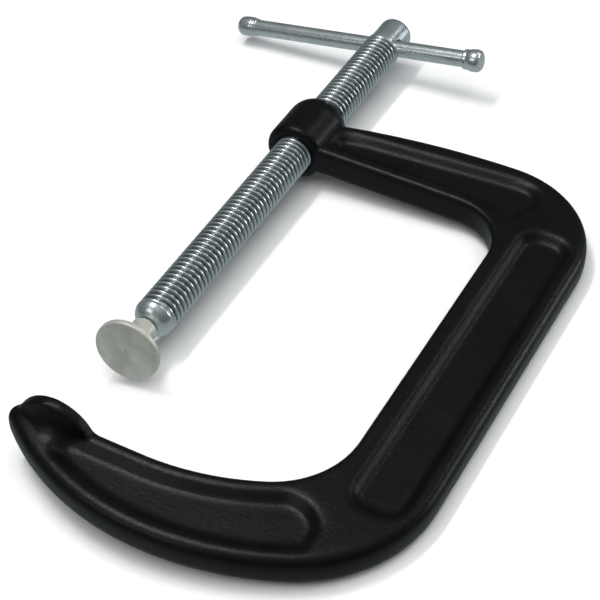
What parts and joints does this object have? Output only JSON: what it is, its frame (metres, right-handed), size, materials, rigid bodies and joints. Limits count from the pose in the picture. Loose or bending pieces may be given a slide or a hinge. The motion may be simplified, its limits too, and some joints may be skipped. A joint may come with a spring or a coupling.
{
  "type": "c-clamp",
  "caption": "Forged C-shaped screw clamp with a deep throat, a threaded screw with a swivel pad, and a sliding cross handle.",
  "frame": {"origin": "centre of the anvil's flat face, on the screw's axis", "axes": "+Y along the screw from the anvil to the handle, +X from the screw to the frame's spine, +Z square to the frame's flat sides"},
  "size_m": [0.2227, 0.3227, 0.0355],
  "materials": {
    "frame_paint": "satin black paint on a forging",
    "screw_zinc": "bright zinc plate",
    "pad_steel": "turned, dull zinc plate",
    "ring_steel": "drawn spring wire",
    "bar_zinc": "bright zinc plate",
    "knob_zinc": "bright zinc plate"
  },
  "bodies": {
    "clamp_frame": {"frame": "frame_paint"},
    "screw_tip_carrier": {"pad_retaining_ring": "ring_steel"},
    "screw": {"screw": "screw_zinc"},
    "pad": {"swivel_pad": "pad_steel"},
    "handle": {"handle_bar": "bar_zinc", "handle_knob_long_side": "knob_zinc", "handle_knob_short_side": "knob_zinc"}
  },
  "joints": [
    {"name": "screw_feed", "type": "slide", "parent": "clamp_frame", "child": "screw_tip_carrier", "axis": [0, 1, 0], "range_m": [-0.04185, 0.1178]},
    {"name": "screw_turn", "type": "hinge", "parent": "screw_tip_carrier", "child": "screw", "pos_m": [0, 0.05545, 0], "axis": [0, 1, 0], "range_deg": [-5452.4, 15394.9]},
    {"name": "pad_tilt", "type": "hinge", "parent": "screw_tip_carrier", "child": "pad", "pos_m": [0, 0.05545, 0], "axis": [0.788, 0, -0.6157], "range_deg": [-2, 18]},
    {"name": "handle_slide", "type": "slide", "parent": "screw", "child": "handle", "axis": [0.9848, 0, 0.1736], "range_m": [-0.0338, 0.0622]}
  ],
  "couplings": [
    {"joint": "screw_feed", "follows": "screw_turn", "m_per_rad": 0.00043768}
  ]
}
